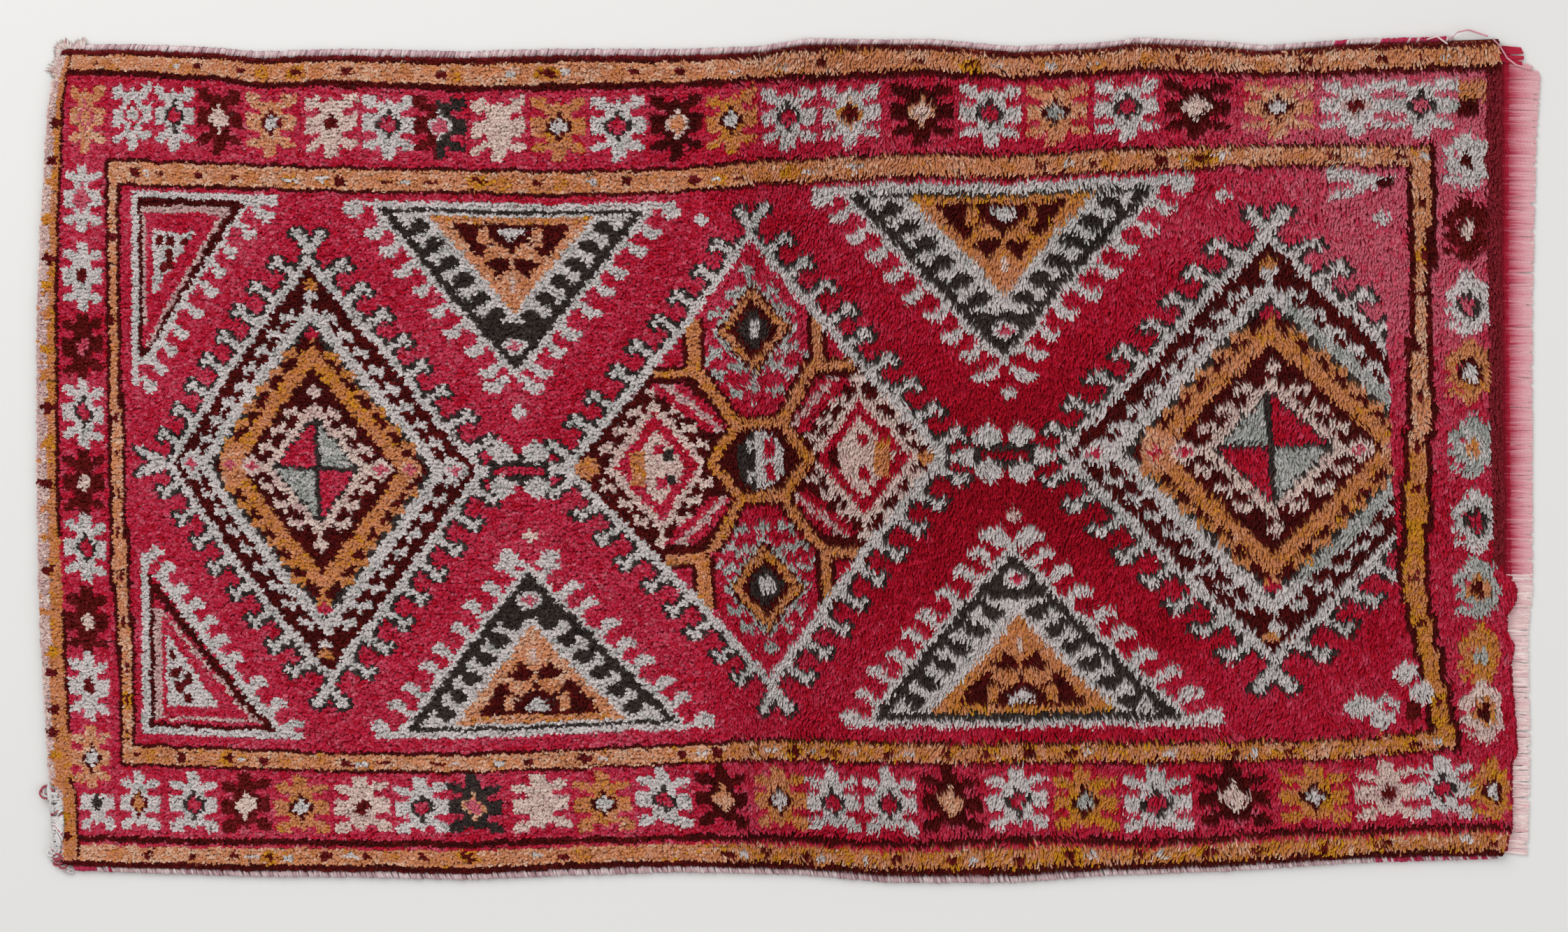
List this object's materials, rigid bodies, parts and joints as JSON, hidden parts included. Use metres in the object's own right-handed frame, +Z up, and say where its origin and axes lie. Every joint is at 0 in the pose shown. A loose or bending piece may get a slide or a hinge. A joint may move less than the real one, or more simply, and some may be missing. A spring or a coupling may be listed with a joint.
{
  "type": "oriental rug",
  "caption": "Small hand-knotted pile rug lying flat, with hooked diamond medallions, a rosette border, overcast long sides and a fringed end.",
  "frame": {"origin": "middle of the rug's box, on the face that rests on the floor", "axes": "+X along the rug's length towards its fringed end, +Y across it towards the upper long side of the picture, +Z up from the floor through the pile"},
  "size_m": [1.13, 0.6408, 0.0092],
  "materials": {
    "pile_crimson": "hand-knotted wool pile, madder crimson, matte with a soft sheen",
    "pile_ivory": "wool pile, grey-white",
    "pile_pink": "wool pile, pinkish white",
    "pile_apricot": "wool pile, apricot to orange",
    "pile_brown": "wool pile, dark red-brown",
    "pile_charcoal": "wool pile, charcoal",
    "ground_weave": "back of the knots and woven ground",
    "binding_wool": "overcast wool yarn, pinkish white",
    "fringe_wool": "cut warp ends, rose to pinkish white",
    "frayed_wool": "frayed yarn ends, pale",
    "mending_cotton": "knotted mending yarn, white and red"
  },
  "bodies": {
    "root": {"rug_body": "pile_crimson", "binding_back": "binding_wool", "binding_front": "binding_wool", "fringe_comb": "fringe_wool", "corner_fray": "frayed_wool", "mending_yarn": "mending_cotton"}
  },
  "joints": []
}
